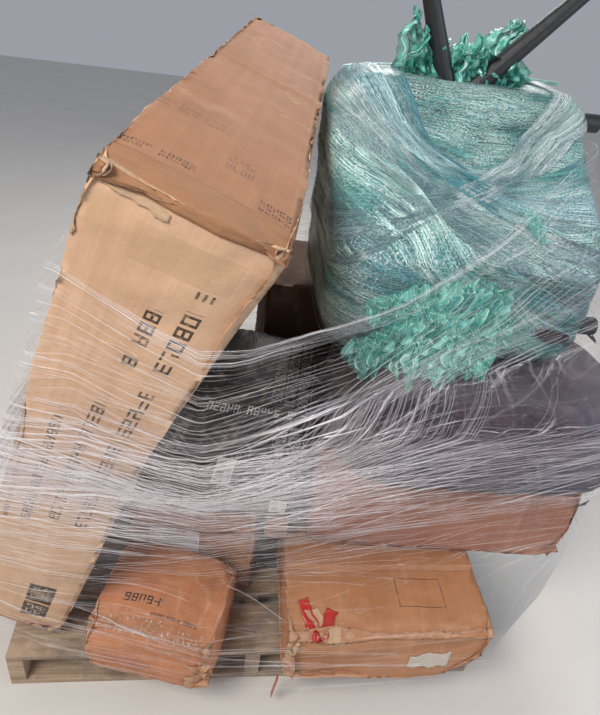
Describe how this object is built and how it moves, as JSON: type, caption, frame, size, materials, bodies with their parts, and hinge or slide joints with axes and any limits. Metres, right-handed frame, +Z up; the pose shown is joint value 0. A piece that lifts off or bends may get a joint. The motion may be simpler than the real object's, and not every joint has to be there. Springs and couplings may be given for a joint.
{
  "type": "shrink wrapped pallet load",
  "caption": "Mixed load of crushed cartons, a soft bundle and film wrapped furniture on a wooden pallet, bound with clear stretch film.",
  "frame": {"origin": "middle of the pallet's underside, on the middle bottom board", "axes": "+X to the right along the pallet's front edge, +Y away from the viewer along the stringers, +Z up"},
  "size_m": [1.614, 1.4471, 1.6768],
  "materials": {
    "pallet_wood": "rough sawn, dusty",
    "carton_tan": "matte corrugated board",
    "carton_brown": "matte corrugated board, scuffed and creased",
    "carton_pinkish": "matte corrugated board",
    "carton_plain": "matte corrugated board",
    "carton_black": "printed board, slight sheen",
    "kraft_tape": "kraft paper tape",
    "clear_tape": "clear packing tape",
    "white_label": "matte printed label",
    "pouch_film": "crinkled clear pouch with a sheet inside",
    "red_tape": "glossy tape",
    "bundle_fabric": "dark woven cover",
    "furniture_cover": "dark upholstery",
    "furniture_black": "black, film covered",
    "teal_film": "stretched tinted film",
    "clear_film": "stretched clear film"
  },
  "bodies": {
    "root": {"back_core": "carton_plain", "black_carton": "carton_black", "black_carton_label_1": "white_label", "black_carton_label_2": "white_label", "bottom_board_1": "pallet_wood", "bottom_board_2": "pallet_wood", "bottom_board_3": "pallet_wood", "bottom_board_4": "pallet_wood", "bottom_board_5": "pallet_wood", "clear_wrap": "clear_film", "dark_bundle": "bundle_fabric", "deck_board_1": "pallet_wood", "deck_board_2": "pallet_wood", "deck_board_3": "pallet_wood", "deck_board_4": "pallet_wood", "deck_board_5": "pallet_wood", "deck_board_6": "pallet_wood", "deck_board_7": "pallet_wood", "front_carton": "carton_brown", "front_carton_label": "white_label", "furniture_body": "furniture_cover", "furniture_foot_low": "furniture_black", "furniture_foot_top": "furniture_black", "furniture_leg_left": "furniture_black", "furniture_leg_right": "furniture_black", "inner_core": "carton_plain", "long_carton": "carton_pinkish", "narrow_carton": "carton_pinkish", "packing_pouch": "pouch_film", "pouch_carton": "carton_brown", "rear_carton": "carton_plain", "red_tape": "red_tape", "red_tape_tail": "red_tape", "small_carton": "carton_brown", "small_carton_tape": "clear_tape", "stringer_1": "pallet_wood", "stringer_2": "pallet_wood", "stringer_3": "pallet_wood", "tall_carton": "carton_tan", "tall_carton_tape": "kraft_tape", "teal_wrap": "teal_film"}
  },
  "joints": []
}
